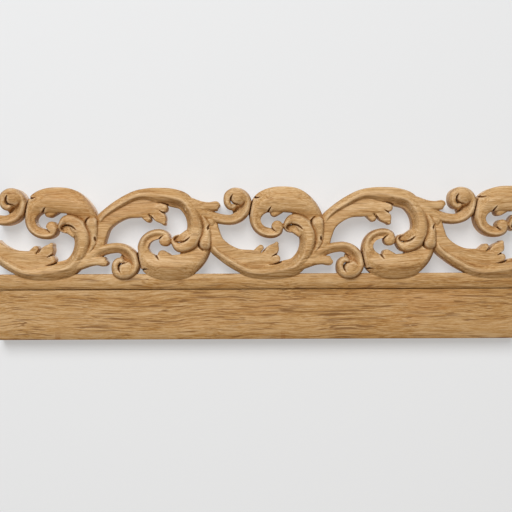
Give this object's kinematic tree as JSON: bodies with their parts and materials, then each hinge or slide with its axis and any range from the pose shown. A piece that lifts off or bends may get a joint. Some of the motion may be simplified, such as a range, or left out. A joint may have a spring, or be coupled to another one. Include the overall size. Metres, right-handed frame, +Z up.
{
  "type": "acanthus leaf moulding",
  "caption": "Straight oak moulding: a pierced running scroll of acanthus leaves carved in one with a plain flat rail that has a rounded top fillet, flat behind.",
  "frame": {"origin": "on the flat back, halfway along the moulding and halfway up the plain rail", "axes": "+X along the moulding to the viewer's right, +Z up, +Y out of the flat back into what it is fixed to, so the carving faces -Y"},
  "size_m": [0.338, 0.02, 0.1002],
  "materials": {
    "oak": "planed and hand-carved light oak, grain along the length, bare or thinly oiled, satin"
  },
  "bodies": {
    "root": {"acanthus_moulding": "oak"}
  },
  "joints": []
}
